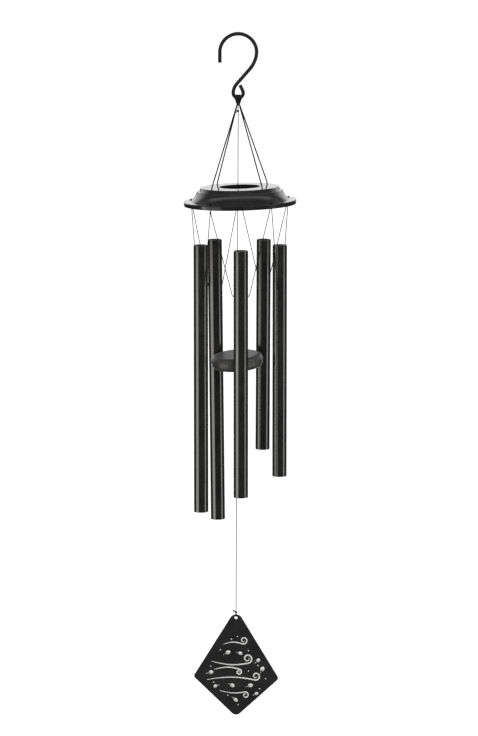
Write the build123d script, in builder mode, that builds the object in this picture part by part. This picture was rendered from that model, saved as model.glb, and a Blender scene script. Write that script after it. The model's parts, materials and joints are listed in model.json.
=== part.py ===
from build123d import *

import os
from math import cos, radians, sin, sqrt

# Wind chime: five tubes on V cords under a turned cap, with a striker and a sail on the centre cord.
# Millimetres and degrees. The origin is the hanging point, the inside top of the hook's large loop.
# +Z is up, +X is to the right and the front of the chime is on the -Y side.

# Hook, one wire bent in the XZ plane
wire_radius = 2.4
loop_radius = 24.0  # to the wire's centre
tip_length = 13.6  # straight end below the loop's left side
loop_overrun = 12.0  # the loop goes on this far past its right side
bend_radius = 38.4
shank_slope = 41.2
shank_length = 25.6
neck_radius = 17.8
eye_radius = 6.5  # to the wire's centre
eye_overrun = 25.0
eye_end_length = 8.5

# Cords and knots
thick_cord_radius = 0.9
thin_cord_radius = 0.55
wrap_gap = 0.3
wrap_half_angle = 32.0
main_knot_radius = 2.15
knot_gap = 0.4  # between knots, cords and wire that turn against each other
striker_knot_drop = 98.8
striker_knot_radius = 1.3
gather_rise = 3.45  # the thick cords' lines meet this far above the middle of the main knot
suspension_start = 6.2  # along each thick cord, from where their lines meet
upper_strand_start = 3.1
suspension_knot_radius = 1.7
rim_knot_radius = 1.8
under_knot_radius = 1.2
stop_knot_radius = 2.2
sail_knot_radius = 1.6

# Crown, in its own frame: height 0 is the top plate, and it hangs a little to one side and tilted
crown_drop = 197.8
crown_shift = 1.8
crown_tilt = 1.5
crown_turn = 1.0
opening_radius = 27.0
plate_radius = 51.5
step_radius = 53.0
step_drop = 4.6
ledge_radius = 56.5
flange_radius = 65.0
flange_drop = 17.8
rim_radius = 74.4
rim_drop = 23.6
cove_radius = 24.0
crown_wall = 2.4
edge_rounding = 0.8
suspension_count = 4
suspension_circle = 47.0
suspension_angle = 38.0
suspension_hole_radius = 1.2
rim_hole_circle = 67.5
rim_hole_angle = 18.0
rim_hole_radius = 1.4

# Tubes: an equal-tempered scale, so a tube's length falls with the fourth root of two per half octave
tube_count = 5
tube_radius = 9.525
tube_wall = 1.5
tube_edge = 0.25
longest_tube = 377.0
tube_top_drop = 272.8
cross_hole_radius = 1.2
semitones = (0, 2, 5, 7, 10)
steps_per_halving = 24
hole_depths = (64.0, 67.0, 60.5, 56.5, 45.0)  # cross hole below the tube's top end
top_offsets = (0.0, 0.0, 3.0, 0.0, 0.0)  # how much lower each top end hangs
inward_leans = (1.0, 0.0, 0.0, 0.0, 0.5)

# V cords, from two neighbouring rim holes through a tube's cross hole
fork_drops = (0.8, 0.8, 0.8, 8.8, 0.8)  # below the rim holes' lower ends: right, back, left, front pair
fork_offset = 0.8  # two strands share a hole, side by side
cord_corner = 10.8  # from the tube's axis to the cord's turn
cord_turn_radius = 1.2

# Striker and sail on the centre cord
centre_lean = 0.25
striker_drop = 428.8
striker_radius = 34.0
striker_thickness = 17.2
striker_edge = 6.8
striker_hole_radius = 1.7
striker_tilt = (5.0, -4.2)  # about X, then about Y
sail_pivot_drop = 775.3
sail_thickness = 3.0
sail_turn = -7.4
sail_half_width = 57.8
sail_side_drop = 94.4  # from the kite's sharp top corner, as are the next two
sail_height = 148.6
sail_hole_drop = 12.45
sail_apex_rise = 10.9  # above the pivot
sail_top_rounding = 9.0
sail_side_rounding = 4.5
sail_bottom_rounding = 8.0
sail_edge = 0.4
sail_hole_radius = 2.2
sail_knot_rise = 5.7
sail_loop_height = 4.6
sail_loop_rounding = 0.9
tag_reach = (-4.1, 0.0, 2.5)


def save(piece, name):
    """Label a finished piece and write it."""
    piece.part.label = name
    export_step(piece.part, f"parts/{name}.step")


def round_bar(start, end, radius):
    """A straight round bar between two points."""
    with BuildPart() as bar:
        with BuildSketch(Plane(origin=start, z_dir=end - start)):
            Circle(radius)
        extrude(amount=(end - start).length)
    return bar


def bent_cord(points, turn_radii, radius):
    """A round cord along straight runs joined by tangent arcs."""
    with BuildPart() as cord:
        with BuildLine():
            FilletPolyline(*points, radius=turn_radii)
        with BuildSketch(Plane(origin=points[0], z_dir=points[1] - points[0])):
            Circle(radius)
        sweep()
    return cord


def ball(centre, radius):
    """A plain round knot."""
    with BuildPart(Plane(origin=centre)) as knot:
        Sphere(radius)
    return knot


os.makedirs("parts", exist_ok=True)

# ---------------------------------------------------------------- hook
loop_centre_z = wire_radius - loop_radius

with BuildPart() as s_hook:
    with BuildLine(Plane.XZ):
        tip = Line((-loop_radius, loop_centre_z - tip_length), (-loop_radius, loop_centre_z))
        loop = JernArc(tip @ 1, tip % 1, loop_radius, -(180 + loop_overrun))
        bend = JernArc(loop @ 1, loop % 1, bend_radius, loop_overrun - shank_slope)
        shank = PolarLine(bend @ 1, shank_length, direction=bend % 1)
        neck = JernArc(shank @ 1, shank % 1, neck_radius, shank_slope)
        eye = JernArc(neck @ 1, neck % 1, eye_radius, 180 + eye_overrun)
        Line(eye @ 1, eye @ 1 + (eye % 1) * eye_end_length)
    with BuildSketch(Plane(origin=tip @ 0, z_dir=tip % 0)):
        Circle(wire_radius)
    sweep()
save(s_hook, "s_hook")

# ---------------------------------------------------------------- loop and main knot under the eye
eye_centre = eye.arc_center
knot_x = eye_centre.X
eye_wire = Vector(knot_x, 0, eye_centre.Z - eye_radius)
wrap_inner = wire_radius + wrap_gap
wrap_outer = wrap_inner + 2 * thick_cord_radius
main_knot_centre = eye_wire - Vector(0, 0, wrap_outer + knot_gap + main_knot_radius)

wrap_side = Vector(0, 0, -1).rotate(Axis.Y, wrap_half_angle)
wrap_along = Vector(1, 0, 0).rotate(Axis.Y, wrap_half_angle)

with BuildPart() as hanging_loop:
    with BuildSketch(Plane(eye_centre, x_dir=wrap_side, z_dir=wrap_along)):
        with Locations((eye_radius, 0)):
            Circle(wrap_outer)
            Circle(wrap_inner, mode=Mode.SUBTRACT)
    revolve(axis=Axis(eye_centre, (0, -1, 0)), revolution_arc=2 * wrap_half_angle)
save(hanging_loop, "hanging_loop")

save(ball(main_knot_centre, main_knot_radius), "main_knot")

# ---------------------------------------------------------------- crown
crown_frame = Plane(Location((knot_x + crown_shift, 0, -crown_drop), (0, -crown_tilt, crown_turn)))
crown_section = Plane(crown_frame.origin, x_dir=crown_frame.x_dir, z_dir=-crown_frame.y_dir)
ring_wall = rim_radius - crown_wall


def crown_point(radius, angle, height):
    """A point in the crown's own cylinder coordinates."""
    spot = (radius * cos(radians(angle)), radius * sin(radians(angle)), height)
    return crown_frame.from_local_coords(Vector(spot))


with BuildPart() as crown_shell:
    with BuildSketch(crown_section) as profile:
        with BuildLine():
            Polyline(
                (opening_radius, 0),
                (plate_radius, 0),
                (step_radius, -step_drop),
                (ledge_radius, -step_drop),
            )
            RadiusArc((ledge_radius, -step_drop), (flange_radius, -flange_drop), -cove_radius)
            Polyline(
                (flange_radius, -flange_drop),
                (rim_radius, -flange_drop),
                (rim_radius, -rim_drop),
                (ring_wall, -rim_drop),
                (ring_wall, -flange_drop - crown_wall),
                (flange_radius - crown_wall, -flange_drop - crown_wall),
            )
            RadiusArc(
                (flange_radius - crown_wall, -flange_drop - crown_wall),
                (ledge_radius - crown_wall, -step_drop - crown_wall),
                cove_radius + crown_wall,
            )
            Polyline(
                (ledge_radius - crown_wall, -step_drop - crown_wall),
                (step_radius - crown_wall, -step_drop - crown_wall),
                (plate_radius - crown_wall, -crown_wall),
                (opening_radius, -crown_wall),
                (opening_radius, 0),
            )
        make_face()
        fillet(profile.vertices().group_by(Axis.X)[-1], edge_rounding)
        for corner in ((plate_radius, 0), (ledge_radius, -step_drop)):
            fillet(profile.vertices().sort_by_distance(corner)[0], edge_rounding)
    revolve(axis=Axis(crown_frame.origin, crown_frame.z_dir))
    with Locations(crown_frame):
        with PolarLocations(suspension_circle, suspension_count, start_angle=suspension_angle):
            Hole(suspension_hole_radius)
        with PolarLocations(rim_hole_circle, tube_count, start_angle=rim_hole_angle):
            Hole(rim_hole_radius)
save(crown_shell, "crown_shell")

# ---------------------------------------------------------------- thick cords from the main knot to the crown
mouth_height = 1.5  # a thick cord turns into its hole this far above the plate
cord_end_height = 0.6 - crown_wall
mouth_radius = 6 * thick_cord_radius
knot_seat = sqrt(suspension_knot_radius**2 - suspension_hole_radius**2)
suspension_step = 360 / suspension_count
suspension_angles = [suspension_angle + suspension_step * k for k in range(suspension_count)]

gather_point = main_knot_centre + Vector(0, 0, gather_rise)

for number, angle in enumerate(suspension_angles, start=1):
    mouth = crown_point(suspension_circle, angle, mouth_height)
    start = gather_point + (mouth - gather_point).normalized() * suspension_start
    end = crown_point(suspension_circle, angle, cord_end_height)
    save(bent_cord([start, mouth, end], [mouth_radius], thick_cord_radius), f"suspension_cord_{number}")

with BuildPart() as suspension_knots:
    with Locations(crown_frame.offset(-crown_wall - knot_seat)):
        with PolarLocations(suspension_circle, suspension_count, start_angle=suspension_angle):
            Sphere(suspension_knot_radius)
save(suspension_knots, "suspension_knots")

# ---------------------------------------------------------------- knots at the rim holes
rim_seat = sqrt(rim_knot_radius**2 - rim_hole_radius**2)
stub_radius = 2 * thin_cord_radius
stub_end = -flange_drop - crown_wall
hole_step = 360 / tube_count
forks = [
    crown_point(rim_hole_circle, rim_hole_angle + hole_step * k, stub_end - fork_drops[k])
    for k in range(tube_count)
]

with BuildPart() as rim_knots:
    with Locations(crown_frame.offset(rim_seat - flange_drop)):
        with PolarLocations(rim_hole_circle, tube_count, start_angle=rim_hole_angle):
            Sphere(rim_knot_radius)
            Cylinder(
                stub_radius,
                rim_seat - flange_drop - stub_end,
                align=(Align.CENTER, Align.CENTER, Align.MAX),
            )
save(rim_knots, "rim_knots")

front_left = 3
under_knot_drop = fork_drops[front_left] - knot_gap - under_knot_radius
under_knot_angle = rim_hole_angle + hole_step * front_left

with BuildPart() as rim_under_knot:
    with Locations(crown_frame.offset(stub_end)):
        with PolarLocations(rim_hole_circle, 1, start_angle=under_knot_angle):
            Cylinder(stub_radius, under_knot_drop, align=(Align.CENTER, Align.CENTER, Align.MAX))
            with Locations((0, 0, -under_knot_drop)):
                Sphere(under_knot_radius)
save(rim_under_knot, "rim_under_knot")

# ---------------------------------------------------------------- tubes on their V cords
tube_pivots = []
tube_tangents = []

for k in range(tube_count):
    left_fork = forks[(k + 2) % tube_count]
    right_fork = forks[(k + 1) % tube_count]
    across = right_fork - left_fork
    tangent = Vector(across.X, across.Y, 0).normalized()
    outward = Vector(-tangent.Y, tangent.X, 0)
    middle = (left_fork + right_fork) / 2
    hole_height = -tube_top_drop - top_offsets[k] - hole_depths[k]
    pivot = Vector(middle.X, middle.Y, hole_height)
    tube_pivots.append(pivot)
    tube_tangents.append(tangent)

    route = [
        left_fork + across.normalized() * fork_offset,
        pivot - tangent * cord_corner,
        pivot + tangent * cord_corner,
        right_fork - across.normalized() * fork_offset,
    ]
    save(bent_cord(route, [cord_turn_radius] * 2, thin_cord_radius), f"tube_cord_{k + 1}")

    tube_length = longest_tube * 0.5 ** (semitones[k] / steps_per_halving)
    lean = radians(inward_leans[k])
    tube_axis = Vector(0, 0, cos(lean)) + outward * sin(lean)
    with BuildPart(Plane(origin=pivot, x_dir=tangent, z_dir=tube_axis)) as tube:
        with Locations((0, 0, hole_depths[k])):
            Cylinder(tube_radius, tube_length, align=(Align.CENTER, Align.CENTER, Align.MAX))
            Cylinder(
                tube_radius - tube_wall,
                tube_length,
                align=(Align.CENTER, Align.CENTER, Align.MAX),
                mode=Mode.SUBTRACT,
            )
        chamfer(tube.edges().filter_by(GeomType.CIRCLE), tube_edge)
        Cylinder(cross_hole_radius, 3 * tube_radius, rotation=(0, 90, 0), mode=Mode.SUBTRACT)
    save(tube, f"tube_{k + 1}")

# ---------------------------------------------------------------- centre cord, striker
down = Vector(-sin(radians(centre_lean)), 0, -cos(radians(centre_lean)))
striker_knot_centre = Vector(knot_x, 0, -striker_knot_drop)


def on_centre_line(drop):
    """The point of the centre line that is this far below the origin."""
    return striker_knot_centre + down * ((drop - striker_knot_drop) / cos(radians(centre_lean)))


striker_centre = on_centre_line(striker_drop)
stop_knot_centre = striker_centre + down * (striker_thickness / 2 + knot_gap + stop_knot_radius)
upper_start = main_knot_centre - Vector(0, 0, upper_strand_start)
upper_end = striker_knot_centre + Vector(0, 0, striker_knot_radius)
striker_cord_start = striker_knot_centre + down * (striker_knot_radius + knot_gap)
striker_cord_end = stop_knot_centre - down * (stop_knot_radius + knot_gap)

save(round_bar(upper_start, upper_end, thin_cord_radius), "upper_strand")
save(ball(striker_knot_centre, striker_knot_radius), "striker_knot")
save(round_bar(striker_cord_start, striker_cord_end, thin_cord_radius), "striker_cord")
save(ball(stop_knot_centre, stop_knot_radius), "striker_stop_knot")

with BuildPart(Plane(Location(striker_centre, (*striker_tilt, 0)))) as striker:
    Cylinder(striker_radius, striker_thickness)
    fillet(striker.edges().filter_by(GeomType.CIRCLE), striker_edge)
    Cylinder(striker_hole_radius, 2 * striker_thickness, mode=Mode.SUBTRACT)
save(striker, "striker")

# ---------------------------------------------------------------- sail
sail_pivot = on_centre_line(sail_pivot_drop)
sail_side = Vector(1, 0, 0).rotate(Axis.Z, sail_turn)
sail_normal = Vector(0, -1, 0).rotate(Axis.Z, sail_turn)
sail_knot_centre = sail_pivot + Vector(0, 0, sail_knot_rise)
sail_cord_start = stop_knot_centre + down * (stop_knot_radius + knot_gap)
sail_cord_end = sail_knot_centre - down * (sail_knot_radius + knot_gap)
loop_half_width = sail_thickness / 2 + knot_gap + thin_cord_radius

save(round_bar(sail_cord_start, sail_cord_end, thin_cord_radius), "sail_cord")

with BuildPart() as sail_knot:
    with BuildLine(Plane(sail_pivot, x_dir=sail_normal, z_dir=-sail_side)) as ring:
        FilletPolyline(
            (-loop_half_width, 0),
            (-loop_half_width, sail_loop_height),
            (loop_half_width, sail_loop_height),
            (loop_half_width, 0),
            radius=sail_loop_rounding,
            close=True,
        )
    with BuildSketch(Plane(origin=ring.line @ 0, z_dir=ring.line % 0)):
        Circle(thin_cord_radius)
    sweep()
    with BuildSketch(Plane(origin=sail_knot_centre, z_dir=tag_reach)):
        Circle(thin_cord_radius)
    extrude(amount=Vector(*tag_reach).length)
    with Locations(sail_knot_centre):
        Sphere(sail_knot_radius)
save(sail_knot, "sail_knot")

with BuildPart() as sail:
    with BuildSketch(Plane(sail_pivot, x_dir=sail_side, z_dir=sail_normal)) as outline:
        with BuildLine():
            Polyline(
                (0, sail_apex_rise),
                (-sail_half_width, sail_apex_rise - sail_side_drop),
                (0, sail_apex_rise - sail_height),
                (sail_half_width, sail_apex_rise - sail_side_drop),
                close=True,
            )
        make_face()
        side_height = sail_apex_rise - sail_side_drop
        for corner, rounding in (
            ((0, sail_apex_rise), sail_top_rounding),
            ((-sail_half_width, side_height), sail_side_rounding),
            ((sail_half_width, side_height), sail_side_rounding),
            ((0, sail_apex_rise - sail_height), sail_bottom_rounding),
        ):
            fillet(outline.vertices().sort_by_distance(corner)[0], rounding)
        with Locations((0, sail_apex_rise - sail_hole_drop)):
            Circle(sail_hole_radius, mode=Mode.SUBTRACT)
    extrude(amount=sail_thickness / 2, both=True)
    chamfer(sail.faces().sort_by(Axis(sail_pivot, sail_normal))[-1].edges(), sail_edge)
    chamfer(sail.faces().sort_by(Axis(sail_pivot, sail_normal))[0].edges(), sail_edge)
save(sail, "sail")

print(f"thick cord turns: radius {mouth_radius:.1f} at the plate")
print(f"tube cord turns: radius {cord_turn_radius:.1f} at the cross holes")
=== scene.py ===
import json
import math

import bmesh
import bpy
from mathutils import Matrix, Vector


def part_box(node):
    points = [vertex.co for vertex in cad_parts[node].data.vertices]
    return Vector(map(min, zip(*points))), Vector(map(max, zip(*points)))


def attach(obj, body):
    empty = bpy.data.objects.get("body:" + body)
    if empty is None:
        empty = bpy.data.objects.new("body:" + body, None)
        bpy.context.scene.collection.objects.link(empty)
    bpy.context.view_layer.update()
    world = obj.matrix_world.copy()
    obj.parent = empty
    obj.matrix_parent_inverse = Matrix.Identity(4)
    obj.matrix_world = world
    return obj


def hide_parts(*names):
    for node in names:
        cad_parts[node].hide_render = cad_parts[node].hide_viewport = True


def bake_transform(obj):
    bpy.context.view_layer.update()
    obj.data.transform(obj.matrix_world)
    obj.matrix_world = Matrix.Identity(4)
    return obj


# Wind chime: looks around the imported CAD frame. Metres, +Z up, front towards -Y.
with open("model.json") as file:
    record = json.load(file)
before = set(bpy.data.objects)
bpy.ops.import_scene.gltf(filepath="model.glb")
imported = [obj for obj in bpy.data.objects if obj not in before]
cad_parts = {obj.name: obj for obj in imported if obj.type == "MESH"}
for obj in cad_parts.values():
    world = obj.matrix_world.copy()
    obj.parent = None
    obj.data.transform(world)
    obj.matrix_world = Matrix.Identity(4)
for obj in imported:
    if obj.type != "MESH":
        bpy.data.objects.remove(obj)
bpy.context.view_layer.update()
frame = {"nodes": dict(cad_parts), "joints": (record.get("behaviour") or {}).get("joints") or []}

MM = 0.001
FULL_TURN = 2 * math.pi

# Cords and knots
THICK_CORD = 1.8 * MM
THIN_CORD = 1.1 * MM
RING_STEP = 0.26 * MM  # between the rings of a cord's mesh
STRAND_STEP = 0.2 * MM  # the same, in short strands and the whipping
THICK_SIDES = 14  # of a cord's ring
THIN_SIDES = 9
KNOT_SIDES = 12
TREFOIL_POINTS = 96
TWISTED_STRANDS = 3
TWISTED_LAY = 3.4  # the length of a strand's turn about the cord, in diameters
BRAIDED_STRANDS = 4
BRAIDED_LAY = 3.6
RELIEF_DEPTH = 0.18  # of a braid, and of the twisted cord in a knot, in cord radii
TAIL_CORD = 0.8  # the diameter of a knot's tail, in cord diameters
EXTRA_POINT = 6  # diameters from a hole's edge, on a long straight run

# The crown's own frame and its hole circles, as the CAD source has them
CROWN_ORIGIN = Vector((1.838 * MM, 0, -197.8 * MM))
CROWN_TILT = 1.5
CROWN_TURN = 1.0
SUSPENSION_CIRCLE = 47.0 * MM
SUSPENSION_ANGLE = 38.0
SUSPENSION_COUNT = 4
RIM_HOLE_CIRCLE = 67.5 * MM
RIM_HOLE_ANGLE = 18.0
FLANGE_DROP = 17.8 * MM
PLATE_WALL = 2.4 * MM
TUBE_COUNT = 5
CORD_CORNER = 10.8 * MM  # from a tube's axis to its cord's turn
FORK_OFFSET = 0.8 * MM

crown_frame = (
    Matrix.Translation(CROWN_ORIGIN)
    @ Matrix.Rotation(math.radians(-CROWN_TILT), 4, "Y")
    @ Matrix.Rotation(math.radians(CROWN_TURN), 4, "Z")
)


def crown_point(radius, angle, height):
    """A point in the crown's own cylinder coordinates, with the angle in degrees."""
    turn = math.radians(angle)
    return crown_frame @ Vector((radius * math.cos(turn), radius * math.sin(turn), height))


def middle(node):
    """The middle of a CAD node's box."""
    low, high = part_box(node)
    return (low + high) / 2


def joint(name):
    """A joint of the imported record, by its name."""
    return next(j for j in frame["joints"] if j["name"] == name)


# ---------------------------------------------------------------- camera and studio
WHITE = (1, 1, 1, 1)
WARM_WHITE = (1.0, 0.985, 0.95)
CAMERA_AIM = Vector((1.04 * MM, 0, -438.8 * MM))
CAMERA_DISTANCE = 4.736
CAMERA_ELEVATION = math.radians(9)
CAMERA_LENS = 175.1
FLOOR_HEIGHT = -1.9
FLOOR_SIZE = 120
GROUND_LIGHT = 0.045
ROOM_LIGHT = 0.14
BACKDROP_LIGHT = 0.98
CEILING_LIGHT = 0.75
FLOOR_GLOW = 0.9
DOME_RADIUS = 30

# The world's bands: over a direction's height, where 0 is level and 1 is straight up, or over its depth,
# where 1 is straight back
HORIZON = (-0.05, 0.15)
BACKDROP_RISE = (0.0, 0.06)
BACKDROP_FALL = (0.3, 0.5)
BACKDROP_DEPTH = (0.1, 0.7)
CEILING_RISE = (0.5, 0.6)
CEILING_FALL = (0.62, 0.8)
CEILING_DEPTH = (-0.05, 0.3)
CEILING_BACK_SHARE = 0.15


def add_camera():
    """The camera, a little above the chime, looking down at its middle."""
    data = bpy.data.cameras.new("camera")
    data.lens = CAMERA_LENS
    data.clip_end = FLOOR_SIZE
    camera = bpy.data.objects.new("camera", data)
    bpy.context.scene.collection.objects.link(camera)
    back = Vector((0, -math.cos(CAMERA_ELEVATION), math.sin(CAMERA_ELEVATION)))
    camera.location = CAMERA_AIM + back * CAMERA_DISTANCE
    camera.rotation_euler = (-back).to_track_quat("-Z", "Y").to_euler()
    bpy.context.scene.camera = camera


def add_softbox(name, bearing, distance, height, size, brightness, colour=(1, 1, 1), aim=None):
    """A soft light, with its bearing in degrees from the front to the right. It faces level unless aimed."""
    data = bpy.data.lights.new(name, "AREA")
    data.shape = "RECTANGLE"
    data.size, data.size_y = size
    data.energy = brightness * math.pi * size[0] * size[1]
    data.color = colour
    light = bpy.data.objects.new(name, data)
    bpy.context.scene.collection.objects.link(light)
    turn = math.radians(bearing)
    light.location = (distance * math.sin(turn), -distance * math.cos(turn), height)
    facing = Vector((0, 0, height if aim is None else aim)) - light.location
    light.rotation_euler = facing.to_track_quat("-Z", "Y").to_euler()
    light.visible_camera = False
    return light


def ranged(tree, value, span, low, high, smooth=True):
    """A value that goes from low to high over a span of another value."""
    node = tree.nodes.new("ShaderNodeMapRange")
    if smooth:
        node.interpolation_type = "SMOOTHSTEP"
    for name, number in (("From Min", span[0]), ("From Max", span[1]), ("To Min", low), ("To Max", high)):
        node.inputs[name].default_value = number
    tree.links.new(value, node.inputs["Value"])
    return node.outputs["Result"]


def multiplied(tree, first, second):
    """The product of two values."""
    node = tree.nodes.new("ShaderNodeMath")
    node.operation = "MULTIPLY"
    tree.links.new(first, node.inputs[0])
    tree.links.new(second, node.inputs[1])
    return node.outputs["Value"]


def added(tree, first, second, share):
    """The first value plus a share of the second."""
    node = tree.nodes.new("ShaderNodeMath")
    node.operation = "MULTIPLY_ADD"
    node.inputs[1].default_value = share
    tree.links.new(second, node.inputs[0])
    tree.links.new(first, node.inputs[2])
    return node.outputs["Value"]


def add_world():
    """A bright backdrop low behind the chime, a band of ceiling light, a dim room and dark ground."""
    world = bpy.data.worlds.new("studio")
    bpy.context.scene.world = world
    world.use_nodes = True
    tree = world.node_tree
    direction = tree.nodes.new("ShaderNodeTexCoord").outputs["Generated"]
    split = tree.nodes.new("ShaderNodeSeparateXYZ")
    tree.links.new(direction, split.inputs[0])
    height = split.outputs["Z"]
    depth = split.outputs["Y"]
    backdrop = multiplied(
        tree,
        ranged(tree, height, BACKDROP_RISE, 0, BACKDROP_LIGHT - ROOM_LIGHT),
        multiplied(
            tree,
            ranged(tree, height, BACKDROP_FALL, 1, 0),
            ranged(tree, depth, BACKDROP_DEPTH, 0, 1),
        ),
    )
    ceiling = multiplied(
        tree,
        ranged(tree, height, CEILING_RISE, 0, CEILING_LIGHT),
        multiplied(
            tree,
            ranged(tree, height, CEILING_FALL, 1, 0),
            ranged(tree, depth, CEILING_DEPTH, 1, CEILING_BACK_SHARE),
        ),
    )
    room = ranged(tree, height, HORIZON, GROUND_LIGHT, ROOM_LIGHT)
    total = tree.nodes.new("ShaderNodeMath")
    tree.links.new(added(tree, backdrop, ceiling, 1.0), total.inputs[0])
    tree.links.new(room, total.inputs[1])
    background = tree.nodes["Background"]
    background.inputs["Color"].default_value = WHITE
    tree.links.new(total.outputs["Value"], background.inputs["Strength"])


def white_surface(name, bm, base, gloss, glow):
    """A plain white surface of the studio, which the other surfaces neither reflect nor take light from."""
    mesh = bpy.data.meshes.new(name)
    bm.to_mesh(mesh)
    bm.free()
    surface = bpy.data.objects.new(name, mesh)
    bpy.context.scene.collection.objects.link(surface)
    material = bpy.data.materials.new(f"{name}_white")
    material.use_nodes = True
    shader = material.node_tree.nodes["Principled BSDF"]
    shader.inputs["Base Color"].default_value = (base, base, base, 1)
    shader.inputs["Roughness"].default_value = 0.9
    shader.inputs["Specular IOR Level"].default_value = gloss
    shader.inputs["Emission Color"].default_value = WHITE
    shader.inputs["Emission Strength"].default_value = glow
    mesh.materials.append(material)
    surface.visible_glossy = False
    surface.visible_diffuse = False
    return surface


def add_floor():
    """A plain pale floor far below the sail."""
    bm = bmesh.new()
    bmesh.ops.create_grid(bm, x_segments=1, y_segments=1, size=FLOOR_SIZE / 2)
    bmesh.ops.translate(bm, verts=bm.verts, vec=(0, 0, FLOOR_HEIGHT))
    floor = white_surface("floor", bm, base=0.92, gloss=0.5, glow=FLOOR_GLOW)


def add_cyclorama():
    """A white dome around the studio, which only the camera sees."""
    bm = bmesh.new()
    bmesh.ops.create_uvsphere(bm, u_segments=64, v_segments=32, radius=DOME_RADIUS)
    below = [vertex for vertex in bm.verts if vertex.co.z < -DOME_RADIUS / 4]
    bmesh.ops.delete(bm, geom=below, context="VERTS")
    dome = white_surface("cyclorama", bm, base=0, gloss=0, glow=1)
    dome.visible_shadow = False


add_camera()
add_world()
add_floor()
add_cyclorama()
add_softbox("left_softbox", bearing=-62, distance=2.2, height=-0.98, size=(1.7, 0.92), brightness=2.3,
            colour=WARM_WHITE)
add_softbox("right_softbox", bearing=73, distance=2.2, height=-0.98, size=(0.75, 0.92), brightness=2.05)
add_softbox("back_softbox", bearing=180, distance=2.4, height=-0.85, size=(2.0, 1.1), brightness=0.85)
fill = add_softbox("front_fill", bearing=12, distance=2.4, height=0.25, size=(1.5, 1.5), brightness=6.4,
                   aim=CAMERA_AIM.z)
fill.visible_glossy = False
bpy.context.scene.view_settings.view_transform = "Standard"


# ---------------------------------------------------------------- materials
STRIKER_TILT = (5.0, -4.2)  # about X and about Y, as in the CAD source
WOOD_HEART = Vector((-22, 60, 0)) * MM  # from the striker's middle to the middle of its growth rings


def new_material(name, colour, roughness):
    """A material, its node tree, its shader and the coordinates of the row frame."""
    material = bpy.data.materials.new(name)
    material.use_nodes = True
    tree = material.node_tree
    shader = tree.nodes["Principled BSDF"]
    shader.inputs["Base Color"].default_value = (*colour, 1)
    shader.inputs["Roughness"].default_value = roughness
    place = tree.nodes.new("ShaderNodeTexCoord").outputs["Object"]
    return material, tree, shader, place


def mapped(tree, place, scale=(1, 1, 1), origin=(0, 0, 0), turn=(0, 0, 0)):
    """Coordinates measured from an origin, turned and stretched."""
    moved = tree.nodes.new("ShaderNodeVectorMath")
    moved.operation = "SUBTRACT"
    moved.inputs[1].default_value = origin
    mapping = tree.nodes.new("ShaderNodeMapping")
    mapping.inputs["Rotation"].default_value = [math.radians(a) for a in turn]
    mapping.inputs["Scale"].default_value = scale
    tree.links.new(place, moved.inputs[0])
    tree.links.new(moved.outputs["Vector"], mapping.inputs["Vector"])
    return mapping.outputs["Vector"]


def noise(tree, place, scale, detail=3, roughness=0.5):
    """Noise from 0 to 1; the scale is in features per metre."""
    node = tree.nodes.new("ShaderNodeTexNoise")
    node.inputs["Scale"].default_value = scale
    node.inputs["Detail"].default_value = detail
    node.inputs["Roughness"].default_value = roughness
    tree.links.new(place, node.inputs["Vector"])
    return node.outputs["Fac"]


def spread_over(tree, value, low, high, socket, span=(0.3, 0.7)):
    """Feeds a socket with low to high as a value crosses its span."""
    tree.links.new(ranged(tree, value, span, low, high, smooth=False), socket)


def coloured(tree, value, socket, *stops):
    """Feeds a colour socket from (position, colour) stops."""
    node = tree.nodes.new("ShaderNodeValToRGB")
    ramp = node.color_ramp
    while len(ramp.elements) < len(stops):
        ramp.elements.new(0.5)
    for element, (position, colour) in zip(ramp.elements, stops):
        element.position = position
        element.color = (*colour, 1)
    tree.links.new(value, node.inputs["Fac"])
    tree.links.new(node.outputs["Color"], socket)


def bumped(tree, shader, height, distance, strength=1.0):
    """Relief from a height that runs from 0 to 1, over a distance in metres."""
    node = tree.nodes.new("ShaderNodeBump")
    node.inputs["Distance"].default_value = distance
    node.inputs["Strength"].default_value = strength
    tree.links.new(height, node.inputs["Height"])
    tree.links.new(node.outputs["Normal"], shader.inputs["Normal"])


def hook_wire():
    """Black powder coat on bent steel wire."""
    material, tree, shader, place = new_material("hook_wire", (0.015, 0.015, 0.015), 0.4)
    grain = noise(tree, place, 1400, detail=4)
    patches = noise(tree, place, 90)
    coloured(tree, patches, shader.inputs["Base Color"],
             (0.35, (0.010, 0.010, 0.010)), (0.65, (0.021, 0.021, 0.020)))
    spread_over(tree, patches, 0.34, 0.5, shader.inputs["Roughness"])
    bumped(tree, shader, grain, 0.012 * MM, 0.6)
    return material


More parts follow.
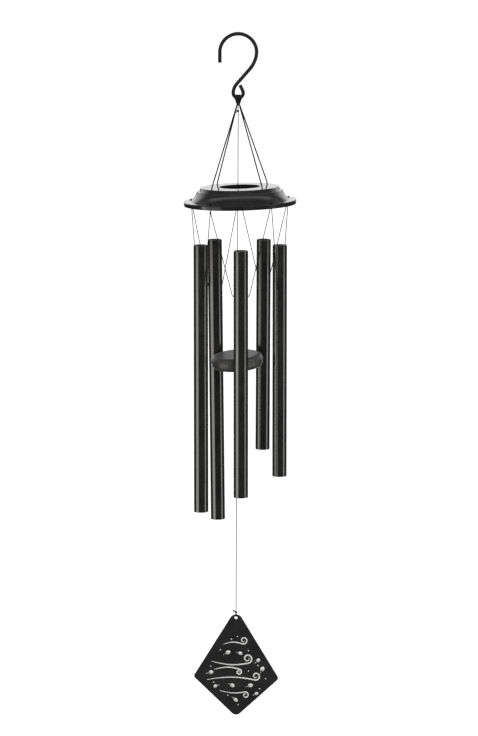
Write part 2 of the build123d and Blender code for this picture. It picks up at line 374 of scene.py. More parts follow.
def crown_enamel():
    """Gloss black enamel over a turned cap, with faint rings from the turning."""
    material, tree, shader, place = new_material("crown_enamel", (0.01, 0.01, 0.01), 0.2)
    centred = mapped(tree, place, origin=CROWN_ORIGIN, turn=(0, CROWN_TILT, 0))
    split = tree.nodes.new("ShaderNodeSeparateXYZ")
    tree.links.new(centred, split.inputs[0])
    across = tree.nodes.new("ShaderNodeCombineXYZ")
    tree.links.new(split.outputs["X"], across.inputs["X"])
    tree.links.new(split.outputs["Y"], across.inputs["Y"])
    radius = tree.nodes.new("ShaderNodeVectorMath")
    radius.operation = "LENGTH"
    tree.links.new(across.outputs["Vector"], radius.inputs[0])
    section = tree.nodes.new("ShaderNodeCombineXYZ")
    tree.links.new(radius.outputs["Value"], section.inputs["X"])
    tree.links.new(split.outputs["Z"], section.inputs["Y"])
    rings = noise(tree, section.outputs["Vector"], 420, detail=4)
    swells = noise(tree, place, 60, detail=2)
    coloured(tree, swells, shader.inputs["Base Color"],
             (0.3, (0.008, 0.008, 0.008)), (0.7, (0.016, 0.0155, 0.015)))
    spread_over(tree, added(tree, rings, swells, 0.6), 0.1, 0.3, shader.inputs["Roughness"], (0.5, 1.1))
    bumped(tree, shader, added(tree, swells, rings, 0.12), 0.12 * MM, 0.35)
    shader.inputs["Coat Weight"].default_value = 0.9
    shader.inputs["Coat Roughness"].default_value = 0.04
    return material


def tube_coating():
    """Satin black coat on drawn tube, a little warm."""
    material, tree, shader, place = new_material("tube_coating", (0.014, 0.014, 0.012), 0.3)
    drawn = noise(tree, mapped(tree, place, scale=(1, 1, 0.02)), 900, detail=4)
    patches = noise(tree, place, 45, detail=3)
    grain = noise(tree, place, 3500, detail=2)
    coloured(tree, added(tree, patches, added(tree, drawn, grain, 0.5), 0.3), shader.inputs["Base Color"],
             (0.5, (0.0095, 0.0095, 0.009)), (0.95, (0.020, 0.0195, 0.018)))
    spread_over(tree, added(tree, patches, grain, 0.1), 0.13, 0.18, shader.inputs["Roughness"], (0.35, 0.75))
    bumped(tree, shader, drawn, 0.002 * MM, 0.4)
    shader.inputs["IOR"].default_value = 1.9
    return material


def striker_wood():
    """Black-stained wood: fine growth rings about an axis beside the disc, and upright pores."""
    material, tree, shader, place = new_material("striker_wood", (0.04, 0.04, 0.04), 0.45)
    heart = middle("striker") + WOOD_HEART
    turned = mapped(tree, place, origin=heart, turn=(-STRIKER_TILT[0], -STRIKER_TILT[1], 0))
    rings = tree.nodes.new("ShaderNodeTexWave")
    rings.wave_type = "RINGS"
    rings.rings_direction = "Z"
    rings.inputs["Scale"].default_value = 230
    rings.inputs["Distortion"].default_value = 3.0
    rings.inputs["Detail"].default_value = 4
    rings.inputs["Detail Scale"].default_value = 0.8
    squashed = mapped(tree, turned, scale=(1, 1, 0.15))
    tree.links.new(squashed, rings.inputs["Vector"])
    pores = noise(tree, mapped(tree, turned, scale=(1, 1, 0.05)), 1700, detail=4)
    grain = added(tree, rings.outputs["Fac"], pores, 1.1)
    coloured(tree, grain, shader.inputs["Base Color"],
             (0.3, (0.014, 0.014, 0.014)), (0.7, (0.044, 0.043, 0.042)), (1.0, (0.085, 0.083, 0.081)))
    spread_over(tree, grain, 0.46, 0.32, shader.inputs["Roughness"], (0.3, 1.6))
    bumped(tree, shader, grain, 0.06 * MM, 0.5)
    shader.inputs["Sheen Weight"].default_value = 0.4
    shader.inputs["Sheen Roughness"].default_value = 0.25
    return material


def sail_board():
    """Matte black board with a fine, dry texture."""
    material, tree, shader, place = new_material("sail_board", (0.02, 0.02, 0.02), 0.6)
    speckle = noise(tree, place, 1900, detail=3, roughness=0.7)
    clouds = noise(tree, place, 32, detail=4)
    coloured(tree, added(tree, clouds, speckle, 0.5), shader.inputs["Base Color"],
             (0.55, (0.009, 0.009, 0.009)), (1.0, (0.023, 0.022, 0.022)))
    spread_over(tree, speckle, 0.5, 0.72, shader.inputs["Roughness"])
    bumped(tree, shader, speckle, 0.07 * MM, 0.7)
    return material


def sail_print():
    """Off-white ink, a little thin in places."""
    material, tree, shader, place = new_material("sail_print", (0.9, 0.9, 0.9), 0.55)
    speckle = noise(tree, place, 1400, detail=4, roughness=0.7)
    coloured(tree, speckle, shader.inputs["Base Color"],
             (0.3, (0.68, 0.68, 0.68)), (0.5, (0.95, 0.95, 0.94)))
    spread_over(tree, speckle, 0.45, 0.65, shader.inputs["Roughness"])
    bumped(tree, shader, speckle, 0.02 * MM, 0.5)
    return material


def cord_fibre(name, low, high, strand_scale):
    """Black or charcoal cord fibre, with fine filaments."""
    material, tree, shader, place = new_material(name, low, 0.6)
    filaments = noise(tree, place, strand_scale, detail=4, roughness=0.7)
    coloured(tree, filaments, shader.inputs["Base Color"], (0.35, low), (0.7, high))
    spread_over(tree, filaments, 0.5, 0.75, shader.inputs["Roughness"])
    bumped(tree, shader, filaments, 0.04 * MM, 0.6)
    shader.inputs["Specular IOR Level"].default_value = 0.25
    return material


hook_material = hook_wire()
crown_material = crown_enamel()
tube_material = tube_coating()
striker_material = striker_wood()
board_material = sail_board()
print_material = sail_print()
thick_material = cord_fibre("thick_cord", (0.007, 0.007, 0.007), (0.022, 0.022, 0.022), 3500)
thin_material = cord_fibre("thin_cord", (0.003, 0.003, 0.003), (0.011, 0.011, 0.011), 5000)


def paint(node, material):
    """Gives a CAD node's slots one material."""
    piece = frame["nodes"][node]
    for material_slot in piece.material_slots:
        material_slot.material = material
    if not piece.material_slots:
        piece.data.materials.append(material)


paint("s_hook", hook_material)
paint("crown_shell", crown_material)
paint("striker", striker_material)
paint("sail", board_material)
for number in range(1, TUBE_COUNT + 1):
    paint(f"tube_{number}", tube_material)


# ---------------------------------------------------------------- mesh work shared by cords and knots
def route_points(route):
    """The points of the NURBS spline whose control points are the route."""
    curve = bpy.data.curves.new("route", "CURVE")
    curve.dimensions = "3D"
    curve.resolution_u = 48
    spline = curve.splines.new("NURBS")
    spline.points.add(len(route) - 1)
    for point, place in zip(spline.points, route):
        point.co = (*place, 1)
    spline.order_u = 3
    spline.use_endpoint_u = True
    holder = bpy.data.objects.new("route", curve)
    mesh = bpy.data.meshes.new_from_object(holder)
    points = [vertex.co.copy() for vertex in mesh.vertices]
    bpy.data.meshes.remove(mesh)
    bpy.data.curves.remove(curve)
    return points


def even_points(points, step):
    """Points about one step apart along a line of points."""
    lengths = [0.0]
    for first, second in zip(points, points[1:]):
        lengths.append(lengths[-1] + (second - first).length)
    count = max(2, round(lengths[-1] / step))
    result = []
    i = 0
    for k in range(count + 1):
        target = lengths[-1] * k / count
        while i < len(points) - 2 and lengths[i + 1] < target:
            i += 1
        gap = max(lengths[i + 1] - lengths[i], 1e-12)
        share = (target - lengths[i]) / gap
        result.append(points[i].lerp(points[i + 1], min(max(share, 0.0), 1.0)))
    return result


def carried_sides(points, closed):
    """A tangent and a side vector at each point, carried along the line without twisting."""
    count = len(points)
    tangents = []
    for i in range(count):
        before = points[i - 1] if closed else points[max(i - 1, 0)]
        after = points[(i + 1) % count] if closed else points[min(i + 1, count - 1)]
        tangents.append((after - before).normalized())
    side = tangents[0].orthogonal().normalized()
    sides = []
    for tangent in tangents:
        side = (side - tangent * side.dot(tangent)).normalized()
        sides.append(side)
    if closed:
        last = (side - tangents[0] * side.dot(tangents[0])).normalized()
        gap = math.atan2(last.cross(sides[0]).dot(tangents[0]), last.dot(sides[0]))
        for i, tangent in enumerate(tangents):
            sides[i] = Matrix.Rotation(gap * i / count, 3, tangent) @ sides[i]
    return tangents, sides


def sweep(bm, points, sides_count, radius_at, closed=False):
    """Sweeps a ring along a line of points; radius_at gives its radius for an angle and a distance."""
    tangents, sides = carried_sides(points, closed)
    rings = []
    along = 0.0
    for i, (point, tangent, side) in enumerate(zip(points, tangents, sides)):
        if i:
            along += (point - points[i - 1]).length
        up = tangent.cross(side)
        ring = []
        for k in range(sides_count):
            angle = FULL_TURN * k / sides_count
            out = side * math.cos(angle) + up * math.sin(angle)
            ring.append(bm.verts.new(point + out * radius_at(angle, along)))
        rings.append(ring)
    pairs = list(zip(rings, rings[1:]))
    if closed:
        pairs.append((rings[-1], rings[0]))
    for first, second in pairs:
        for k in range(sides_count):
            after = (k + 1) % sides_count
            bm.faces.new((first[k], first[after], second[after], second[k]))
    if not closed:
        for ring, point, out in ((rings[0], points[0], -tangents[0]), (rings[-1], points[-1], tangents[-1])):
            tip = bm.verts.new(point + out * radius_at(0.0, 0.0) * 0.5)
            for k in range(sides_count):
                corners = (ring[k], ring[(k + 1) % sides_count], tip)
                bm.faces.new(corners if ring is rings[-1] else corners[::-1])


def plain(radius):
    """A round section."""
    return lambda angle, along: radius


def twisted(diameter, depth=0.12):
    """The section of a twisted cord: round strands that turn as they go."""
    def at(angle, along):
        turn = FULL_TURN * along / (TWISTED_LAY * diameter)
        relief = abs(math.cos(TWISTED_STRANDS / 2 * (angle - turn)))
        return diameter / 2 * (1 - depth * (1 - relief))
    return at


def braided(diameter):
    """The section of a braided cord: two sets of strands that cross."""
    def at(angle, along):
        turn = FULL_TURN * along / (BRAIDED_LAY * diameter)
        one_way = abs(math.cos(BRAIDED_STRANDS / 2 * (angle - turn)))
        other_way = abs(math.cos(BRAIDED_STRANDS / 2 * (angle + turn)))
        return diameter / 2 * (1 - RELIEF_DEPTH * (1 - max(one_way, other_way)))
    return at


def finished_piece(bm, name, material, body, replaced=()):
    """Turns a bmesh into a piece, which rides on a body where one is given."""
    bmesh.ops.recalc_face_normals(bm, faces=bm.faces)
    mesh = bpy.data.meshes.new(name)
    bm.to_mesh(mesh)
    bm.free()
    mesh.materials.append(material)
    mesh.shade_smooth()
    piece = bpy.data.objects.new(name, mesh)
    bpy.context.scene.collection.objects.link(piece)
    if body:
        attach(piece, body)
    if replaced:
        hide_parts(*replaced)
    return piece


def cord_piece(name, node, body, route, diameter, section, sides_count, material):
    """A cord as a mesh along its route, and the points that it follows."""
    points = even_points(route_points(route), RING_STEP)
    bm = bmesh.new()
    sweep(bm, points, sides_count, section(diameter))
    piece = finished_piece(bm, name, material, body, (node,))
    return piece, points


def trefoil(centre, axis, reach, cord_radius, turn):
    """The closed line of a tight overhand knot about an axis."""
    scale = (reach - cord_radius) / 3
    turned = axis.to_track_quat("Z", "X").to_matrix() @ Matrix.Rotation(turn, 3, "Z")
    line = []
    for k in range(TREFOIL_POINTS):
        t = FULL_TURN * k / TREFOIL_POINTS
        out = 2 + math.cos(3 * t)
        spot = Vector((out * math.cos(2 * t), out * math.sin(2 * t), 1.5 * math.sin(3 * t)))
        line.append(centre + turned @ (spot * scale))
    return line


def add_knot(bm, centre, axis, reach, cord_radius, turn=0.0):
    """An overhand knot, pulled tight."""
    line = trefoil(centre, axis, reach, cord_radius, turn)
    sweep(bm, line, KNOT_SIDES, twisted(2 * cord_radius, depth=RELIEF_DEPTH), closed=True)


def add_strand(bm, route, diameter, section=twisted, sides_count=THIN_SIDES):
    """A short strand along a route."""
    sweep(bm, even_points(route_points(route), STRAND_STEP), sides_count, section(diameter))


# ---------------------------------------------------------------- lashing and main knot in the eye
eye = joint("loop_slide_in_eye")
eye_centre = Vector(eye["pos_m"])
eye_wire = Vector(joint("front_back_swing")["pos_m"])
main_knot = Vector(joint("crown_twist")["pos_m"])
EYE_RADIUS = (eye_centre - eye_wire).length
WRAP_RADIUS = 3.45 * MM  # of a wrap's middle about the wire
WRAP_SHAPE = ((-1, 0), (-1, 0.62), (-0.5, 1.04), (0.35, 1))  # outward and sideways, in that radius
WRAP_COUNT = 5
WRAP_SPREAD = 17.5  # degrees between neighbouring wraps, about the eye's middle
KNOT_TOP = 1.9 * MM  # the legs reach the knot this far above its middle
FOOT_SHARE = 0.75  # how much of a wrap's reach to the side its foot keeps
LEG_GAP = 0.9 * MM  # from the knot's middle plane to the front and back legs
LEG_BEND = 1.7 * MM  # above its foot, where a leg bends
WHIPPING_TURNS = 3.4
WHIPPING_POINTS = 120
WHIPPING_REACH = (2.5 * MM, 1.4 * MM)  # at the whipping's top and bottom
WHIPPING_HEIGHT = 3.9 * MM
WHIPPING_CORD = 0.9  # its diameter, in thick cord diameters
KNOT_CORE = 1.7 * MM


def lashing_leg_route(angle, front):
    """Half a wrap: from inside the eye, round the wire and down to the knot."""
    turn = math.radians(angle)
    outward = Vector((math.sin(turn), 0, -math.cos(turn)))
    wire = eye_centre + outward * EYE_RADIUS
    sideways = Vector((0, -1 if front else 1, 0))
    foot = main_knot + Vector(((wire.x - eye_centre.x) * FOOT_SHARE, 0, KNOT_TOP)) + sideways * LEG_GAP
    wrap = [wire + (outward * out + sideways * side) * WRAP_RADIUS for out, side in WRAP_SHAPE]
    bend = foot + sideways * LEG_GAP + Vector((0, 0, LEG_BEND))
    inside = main_knot + Vector((foot.x - main_knot.x, 0, 0)) / 2
    return [*wrap, bend, foot, inside]


def add_eye_lashing():
    """The suspension cords' own wraps through the eye, gathered and whipped into the main knot."""
    bm = bmesh.new()
    for k in range(WRAP_COUNT):
        angle = WRAP_SPREAD * (k - (WRAP_COUNT - 1) / 2)
        for front in (True, False):
            add_strand(bm, lashing_leg_route(angle, front), THICK_CORD, braided, THICK_SIDES)
    helix = []
    for k in range(WHIPPING_POINTS + 1):
        share = k / WHIPPING_POINTS
        turn = FULL_TURN * WHIPPING_TURNS * share
        reach = WHIPPING_REACH[0] + (WHIPPING_REACH[1] - WHIPPING_REACH[0]) * share
        drop = KNOT_TOP - share * WHIPPING_HEIGHT
        helix.append(main_knot + Vector((reach * math.cos(turn), reach * math.sin(turn), drop)))
    sweep(bm, even_points(helix, STRAND_STEP), KNOT_SIDES, braided(THICK_CORD * WHIPPING_CORD))
    core = [main_knot + Vector((0, 0, KNOT_TOP * share)) for share in (1, 0.4, -0.2, -0.8)]
    sweep(bm, core, KNOT_SIDES, plain(KNOT_CORE))
    lashing = finished_piece(bm, "eye_lashing", thick_material, None,
                             ("hanging_loop", "main_knot"))
    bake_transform(lashing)


add_eye_lashing()

# ---------------------------------------------------------------- thick cords from the main knot to the plate
MOUTH_HEIGHT = 1.5 * MM
CORD_END = 0.6 * MM - PLATE_WALL
GATHER_RISE = 3.45 * MM  # the cords' lines meet this far above the middle of the main knot
CORD_START = 3.6 * MM  # along each cord from where their lines meet
SUSPENSION_KNOT = 1.7 * MM
SUSPENSION_KNOT_CORD = 0.42  # its radius, in thick cord diameters
SUSPENSION_KNOT_DROP = 1.2 * MM  # below the plate's underside
SUSPENSION_TAIL = 4.2 * MM
SUSPENSION_TAIL_LEAN = 0.5 * MM
down = crown_frame.to_3x3() @ Vector((0, 0, -1))

gather_point = main_knot + Vector((0, 0, GATHER_RISE))
suspension_ends = bmesh.new()
for number in range(1, SUSPENSION_COUNT + 1):
    angle = SUSPENSION_ANGLE + 360 / SUSPENSION_COUNT * (number - 1)
    mouth = crown_point(SUSPENSION_CIRCLE, angle, MOUTH_HEIGHT)
    hole_end = crown_point(SUSPENSION_CIRCLE, angle, CORD_END)
    along = (mouth - gather_point).normalized()
    start = gather_point + along * CORD_START
    route = [start, mouth - along * EXTRA_POINT * THICK_CORD, mouth, hole_end]
    piece, points = cord_piece(
        f"suspension_cord_{number}_braid", f"suspension_cord_{number}", "crown",
        route, THICK_CORD, braided, THICK_SIDES, thick_material,
    )
    knot = crown_point(SUSPENSION_CIRCLE, angle, -PLATE_WALL - SUSPENSION_KNOT_DROP)
    add_knot(suspension_ends, knot, down, SUSPENSION_KNOT, THICK_CORD * SUSPENSION_KNOT_CORD, turn=number)
    tail = knot + down * SUSPENSION_TAIL + Vector((SUSPENSION_TAIL_LEAN, 0, 0))
    add_strand(suspension_ends, [hole_end, knot, tail], THICK_CORD * TAIL_CORD, braided, KNOT_SIDES)
finished_piece(suspension_ends, "suspension_end_knots", thick_material, "crown",
               ("suspension_knots",))

# ---------------------------------------------------------------- V cords, from two rim holes through a tube
half_step = math.pi / TUBE_COUNT
IN_HOLE = 1.5 * MM  # the strands start this far above the fork, in their hole


def tube_route(number):
    """The control points of one tube's V cord, left hole to right hole."""
    swing = joint(f"sling_{number}_swing")
    rock = joint(f"tube_{number}_rock")
    centre = Vector(swing["pos_m"])
    across = Vector(swing["axis"])
    tangent = Vector(rock["axis"])
    pivot = Vector(rock["pos_m"])
    level = Vector((across.x, across.y)).length
    half_span = RIM_HOLE_CIRCLE * math.sin(half_step) / level
    route = []
    for way in (-1, 1):
        fork = centre + across * way * (half_span - FORK_OFFSET)
        corner = pivot + tangent * way * CORD_CORNER
        rise = (fork - corner).normalized()
        half = [
            fork + Vector((0, 0, IN_HOLE)) + across * way * FORK_OFFSET / 2,
            fork,
            corner + rise * EXTRA_POINT * THIN_CORD,
            corner,
            pivot + tangent * way * CORD_CORNER / 2,
        ]
        route += half if way < 0 else half[::-1]
    return route


for number in range(1, TUBE_COUNT + 1):
    route = tube_route(number)
    piece, points = cord_piece(
        f"tube_cord_{number}_twist", f"tube_cord_{number}", f"tube_sling_{number}",
        route, THIN_CORD, twisted, THIN_SIDES, thin_material,
    )

# ---------------------------------------------------------------- knots at the rim holes
RIM_KNOT = 1.25 * MM
RIM_KNOT_SEAT = 0.6 * MM
RIM_KNOT_CORD = 0.42  # its radius, in thin cord diameters
RIM_KNOT_TURN = 1.3  # between neighbours, in radians
RIM_TAIL_REACH = 3.6  # along the rim, in strand gaps
RIM_TAIL_BEND = 2  # the same, of its middle
RIM_TAIL_RISE = 0.1 * MM
RIM_TAIL_BEND_RISE = 0.6 * MM
RIM_TAIL_OUT = 0.9 * MM
STRAND_GAP = 0.45 * MM  # from a hole's axis to each of its two strands
STUB_END = -FLANGE_DROP - PLATE_WALL
STUB_TIP = 0.3 * MM  # past the hole's lower end
UNDER_KNOT = 1.45 * MM
UNDER_KNOT_CORD = 0.55  # its radius, in thin cord diameters
UNDER_KNOT_RADIUS = 1.2 * MM  # of its CAD ball
UNDER_KNOT_SINK = 0.2 * MM  # from the top of its CAD node to the strands' start
NARROWING = 0.8  # how much of their gap the strands keep at the node's middle

rim_knots = bmesh.new()
for k in range(TUBE_COUNT):
    angle = RIM_HOLE_ANGLE + 360 / TUBE_COUNT * k
    knot = crown_point(RIM_HOLE_CIRCLE, angle, RIM_KNOT_SEAT - FLANGE_DROP)
    outward = (crown_point(RIM_HOLE_CIRCLE, angle, 0) - CROWN_ORIGIN).normalized()
    along_rim = down.cross(outward)
    add_knot(rim_knots, knot, down, RIM_KNOT, THIN_CORD * RIM_KNOT_CORD, turn=k * RIM_KNOT_TURN)
    foot = crown_point(RIM_HOLE_CIRCLE, angle, STUB_END)
    for way in (-1, 1):
        side = along_rim * way * STRAND_GAP
        add_strand(rim_knots, [knot + side, foot + side, foot + side + down * STUB_TIP], THIN_CORD)
        bend = knot + side * RIM_TAIL_BEND - down * RIM_TAIL_BEND_RISE
        tail = knot + side * RIM_TAIL_REACH - down * RIM_TAIL_RISE + outward * RIM_TAIL_OUT
        add_strand(rim_knots, [knot, bend, tail], THIN_CORD * TAIL_CORD)
finished_piece(rim_knots, "rim_stopper_knots", thin_material, "crown", ("rim_knots",))

under_knot = bmesh.new()
knot = middle("rim_under_knot")
low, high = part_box("rim_under_knot")
ball_centre = Vector((knot.x, knot.y, low.z + UNDER_KNOT_RADIUS))
top = Vector((knot.x, knot.y, high.z - UNDER_KNOT_SINK))
add_knot(under_knot, ball_centre, down, UNDER_KNOT, THIN_CORD * UNDER_KNOT_CORD)
for way in (-1, 1):
    side = Vector((way * STRAND_GAP, 0, 0))
    add_strand(under_knot, [top + side, knot + side * NARROWING, ball_centre], THIN_CORD)
finished_piece(under_knot, "rim_under_hitch", thin_material, "crown",
               ("rim_under_knot",))

# ---------------------------------------------------------------- centre line: its knots and cords
striker_knot = Vector(joint("striker_side")["pos_m"])
stop_knot = Vector(joint("sail_line_side")["pos_m"])
sail_pivot = Vector(joint("sail_rock")["pos_m"])
sail_normal = Vector(joint("sail_rock")["axis"])
line_down = (sail_pivot - stop_knot).normalized()
SAIL_KNOT_RISE = 5.7 * MM
sail_knot = sail_pivot + Vector((0, 0, SAIL_KNOT_RISE))
LEANING = Vector((0.5, 0, 1)).normalized()  # the axis of a knot that lies a little on its side

UPPER_START = 1.5 * MM  # below the main knot's middle
HITCH_KNOT = 1.55 * MM
HITCH_KNOT_CORD = 0.55  # its radius, in thin cord diameters
SIDE_KNOT = 1.6 * MM
SIDE_KNOT_CORD = 0.6
SIDE_KNOT_PLACE = Vector((-0.9, -0.4, 0.6)) * MM  # from the striker knot's middle
HITCH_TAIL_BEND = Vector((-1.5, -0.4, 0.6)) * MM
HITCH_TAIL_END = Vector((-2.6, -0.6, -1.9)) * MM

upper = bmesh.new()
upper_start = main_knot - Vector((0, 0, UPPER_START))
add_strand(upper, [upper_start, (main_knot + striker_knot) / 2, striker_knot], THIN_CORD)
add_knot(upper, striker_knot, line_down, HITCH_KNOT, THIN_CORD * HITCH_KNOT_CORD)
add_knot(upper, striker_knot + SIDE_KNOT_PLACE, LEANING, SIDE_KNOT, THIN_CORD * SIDE_KNOT_CORD)
add_strand(upper, [striker_knot, striker_knot + HITCH_TAIL_BEND, striker_knot + HITCH_TAIL_END],
           THIN_CORD)
finished_piece(upper, "striker_hitch", thin_material, "centre_knot",
               ("upper_strand", "striker_knot"))


def centre_cord(name, node, body, start, end):
    """A straight cord of the centre line, pulled tight by what hangs on it."""
    route = [start, start.lerp(end, 0.35), start.lerp(end, 0.7), end]
    piece, points = cord_piece(name, node, body, route, THIN_CORD, twisted, THIN_SIDES,
                               thin_material)


centre_cord("striker_cord_twist", "striker_cord", "striker", striker_knot, stop_knot)
centre_cord("sail_cord_twist", "sail_cord", "sail_line", stop_knot, sail_knot)

OUTER_STOP = 2.3 * MM
OUTER_STOP_CORD = 0.8  # its radius, in thin cord diameters
INNER_STOP = 1.5 * MM
INNER_STOP_CORD = 0.6
INNER_STOP_DROP = 0.4 * MM
INNER_STOP_TURN = 1.0
STOP_TAIL_BEND = Vector((1.5, -0.8, -1.6)) * MM
STOP_TAIL_END = Vector((3.0, -1.2, -4.2)) * MM

stopper = bmesh.new()
add_knot(stopper, stop_knot, line_down, OUTER_STOP, THIN_CORD * OUTER_STOP_CORD)
add_knot(stopper, stop_knot + line_down * INNER_STOP_DROP, line_down,
         INNER_STOP, THIN_CORD * INNER_STOP_CORD, turn=INNER_STOP_TURN)
add_strand(stopper, [stop_knot, stop_knot + STOP_TAIL_BEND, stop_knot + STOP_TAIL_END], THIN_CORD)
finished_piece(stopper, "striker_stopper_knot", thin_material, "stop_knot",
               ("striker_stop_knot",))

# ---------------------------------------------------------------- sail tie
SAIL_HALF = 1.5 * MM  # half of the sail's thickness
LOOP_REACH = SAIL_HALF + 0.4 * MM + THIN_CORD / 2
LOOP_TOP = 4.6 * MM
LOOP_BOTTOM = 1.0 * MM  # where the loop turns into the sail's hole
CROSSING_REACH = LOOP_REACH * 0.8
CROSSING_HEIGHT = -0.2 * MM
SAIL_KNOT = 2.0 * MM
SAIL_KNOT_CORD = 0.7  # its radius, in thin cord diameters
TAG_REACH = Vector((-4.1, 0, 2.5)) * MM
TAG_SPREAD = 0.6 * MM  # between the tag's three strands
TAG_BEND = 0.45  # the place of a strand's bend along it
TAG_RISE = Vector((0, 0, 0.3)) * MM


def beside_pivot(reach, height):
    """A point in front of the sail's pivot, or behind it, and above it."""
    return sail_pivot + sail_normal * reach + Vector((0, 0, height))


tie = bmesh.new()
loop_route = [
    sail_knot,
    beside_pivot(LOOP_REACH, LOOP_TOP),
    beside_pivot(LOOP_REACH, LOOP_BOTTOM),
    beside_pivot(CROSSING_REACH, CROSSING_HEIGHT),
    beside_pivot(-CROSSING_REACH, CROSSING_HEIGHT),
    beside_pivot(-LOOP_REACH, LOOP_BOTTOM),
    beside_pivot(-LOOP_REACH, LOOP_TOP),
    sail_knot,
]
add_strand(tie, loop_route, THIN_CORD)
add_knot(tie, sail_knot, LEANING, SAIL_KNOT, THIN_CORD * SAIL_KNOT_CORD)
for lift in (-TAG_SPREAD, 0, TAG_SPREAD):
    tag = TAG_REACH + Vector((0, lift, lift))
    add_strand(tie, [sail_knot, sail_knot + tag * TAG_BEND + TAG_RISE, sail_knot + tag], THIN_CORD)
finished_piece(tie, "sail_hitch", thin_material, "sail_tie", ("sail_knot",))

# ---------------------------------------------------------------- sail motif: wind curls, leaves and dots
PRINT_THICKNESS = 0.12 * MM
STROKE_TIP = 0.25  # a stroke's width at its ends, in its greatest width
STROKE_FULLNESS = 0.7  # below 1, a stroke keeps its width further towards its ends
RUN_STEPS = 24
RUN_SWEEP = 0.9  # how much of a half wave a breeze line's rise takes
SPIRAL_STEPS = 36
SPIRAL_CLOSING = 0.72  # how much of its radius a spiral loses
DOT_SIDES = 16
LEAF_STEPS = 8
LEAF_WIDTH = 0.30  # half of it, in leaf lengths
MIDRIB_GAP = 0.06  # half of it, in leaf lengths
STALK_REACH = 0.5  # in leaf lengths
STALK_SAG = 0.08  # in leaf lengths
LEAF_FULLNESS = 0.85
STALK_WIDTH = 0.5
sail_side = sail_normal.cross(Vector((0, 0, -1)))
print_plane = sail_pivot + sail_normal * (SAIL_HALF + PRINT_THICKNESS / 2)


def on_sail(across, height):
    """A point of the sail's front, in millimetres to the right of and above the pivot."""
    return print_plane + sail_side * across * MM + Vector((0, 0, height * MM))


def add_slab(bm, outline):
    """A thin raised patch with the given outline, in millimetres on the sail's front."""
    front = [bm.verts.new(on_sail(x, y) + sail_normal * PRINT_THICKNESS / 2) for x, y in outline]
    back = [bm.verts.new(on_sail(x, y) - sail_normal * PRINT_THICKNESS / 2) for x, y in outline]
    bm.faces.new(front)
    bm.faces.new(back[::-1])
    for k in range(len(outline)):
        after = (k + 1) % len(outline)
        bm.faces.new((front[k], back[k], back[after], front[after]))


def add_stroke(bm, line, width):
    """A brush stroke along a line, thin at its ends."""
    left = []
    right = []
    for k, (x, y) in enumerate(line):
        ahead = line[min(k + 1, len(line) - 1)]
        behind = line[max(k - 1, 0)]
        run = math.hypot(ahead[0] - behind[0], ahead[1] - behind[1])
        share = k / (len(line) - 1)
        half = width / 2 * (STROKE_TIP + (1 - STROKE_TIP) * math.sin(math.pi * share) ** STROKE_FULLNESS)
        over = ((behind[1] - ahead[1]) / run * half, (ahead[0] - behind[0]) / run * half)
        left.append((x + over[0], y + over[1]))
        right.append((x - over[0], y - over[1]))
    for k in range(len(line) - 1):
        add_slab(bm, [left[k], right[k], right[k + 1], left[k + 1]])


def wind_curl(x, y, run, lift, curl, turns):
    """A breeze line that ends in a spiral curl, as points in millimetres. A negative curl turns down."""
    line = []
    for k in range(RUN_STEPS + 1):
        share = k / RUN_STEPS
        line.append((x + run * share, y + lift * math.sin(math.pi * share * RUN_SWEEP)))
    end_x, end_y = line[-1]
    heading = math.atan2(line[-1][1] - line[-2][1], line[-1][0] - line[-2][0])
    side = 1 if curl > 0 else -1
    radius = abs(curl)
    centre_x = end_x - side * radius * math.sin(heading)
    centre_y = end_y + side * radius * math.cos(heading)
    for k in range(1, SPIRAL_STEPS + 1):
        share = k / SPIRAL_STEPS
        angle = heading - side * math.pi / 2 + side * FULL_TURN * turns * share
        reach = radius * (1 - SPIRAL_CLOSING * share)
        line.append((centre_x + reach * math.cos(angle), centre_y + reach * math.sin(angle)))
    return line


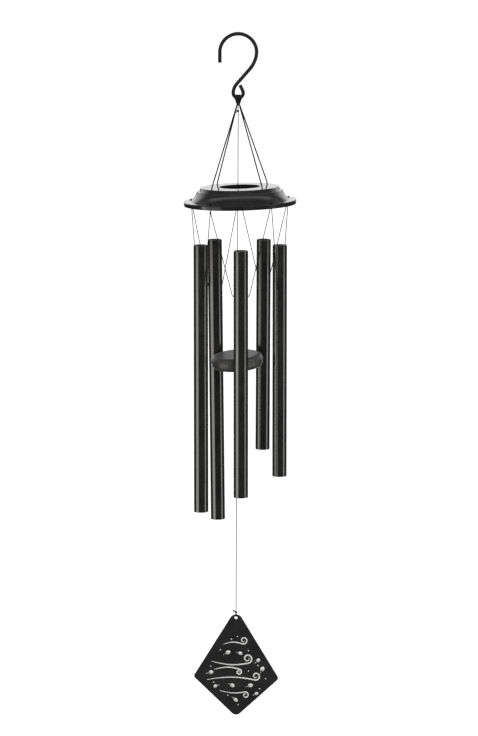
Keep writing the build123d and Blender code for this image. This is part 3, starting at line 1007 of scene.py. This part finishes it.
def add_leaf(bm, x, y, length, heading):
    """A pointed leaf in two halves, with a gap for its midrib and a short stalk."""
    turn = math.radians(heading)
    along = (math.cos(turn), math.sin(turn))
    over = (-along[1], along[0])
    for way in (-1, 1):
        outline = [(0.0, MIDRIB_GAP * way), (1.0, 0.0)]
        for step in range(LEAF_STEPS - 1, 0, -1):
            share = step / LEAF_STEPS
            width = LEAF_WIDTH * math.sin(math.pi * share) ** LEAF_FULLNESS + MIDRIB_GAP
            outline.append((share, way * width))
        add_slab(bm, [(x + length * (a * along[0] + b * over[0]), y + length * (a * along[1] + b * over[1]))
                      for a, b in outline])
    stalk = []
    for share in (0, 0.33, 0.66, 1):
        reach = length * STALK_REACH * share
        stalk.append((x - reach * along[0], y - reach * along[1] - length * STALK_SAG * share * share))
    add_stroke(bm, stalk, STALK_WIDTH)


def add_dot(bm, x, y, radius):
    """A round dot."""
    turns = [FULL_TURN * k / DOT_SIDES for k in range(DOT_SIDES)]
    add_slab(bm, [(x + radius * math.cos(turn), y + radius * math.sin(turn)) for turn in turns])


# Millimetres to the right of the sail's pivot and above it, then each shape's own sizes
motif = bmesh.new()
for curl_line, width in (
    (wind_curl(-17, -38, 26, 3.0, 5.2, 1.25), 1.7),
    (wind_curl(-33, -62, 50, -4.0, 6.4, 1.3), 2.0),
    (wind_curl(-29, -73, 34, 3.4, -3.9, 1.3), 2.0),
    (wind_curl(-39, -87.5, 65, 4.4, 5.6, 1.2), 1.9),
    (wind_curl(-22, -102, 34, -2.8, -4.4, 1.25), 1.7),
):
    add_stroke(motif, curl_line, width)
for leaf in (
    (-14, -51, 7.5, 28), (3, -49, 6.5, -18), (27.5, -61, 6.5, 40), (-37, -78, 7.0, 15), (34, -74, 7.5, 62),
    (-8, -93, 7.0, -25), (16, -95, 7.5, 20), (-3, -112, 7.0, -40), (25, -106, 6.0, 25), (-25, -95, 6.0, 200),
):
    add_leaf(motif, *leaf)
for dot in (
    (-6, -31, 0.9), (2, -27, 0.7), (-21, -46, 0.8), (17, -46, 0.9), (30, -66, 0.8), (-34, -69, 0.9),
    (40, -84, 1.0), (17, -74, 0.8), (-30, -91, 0.8), (32, -98, 0.9), (3, -121, 0.8), (-11, -108, 0.8),
):
    add_dot(motif, *dot)
finished_piece(motif, "sail_print", print_material, "sail")
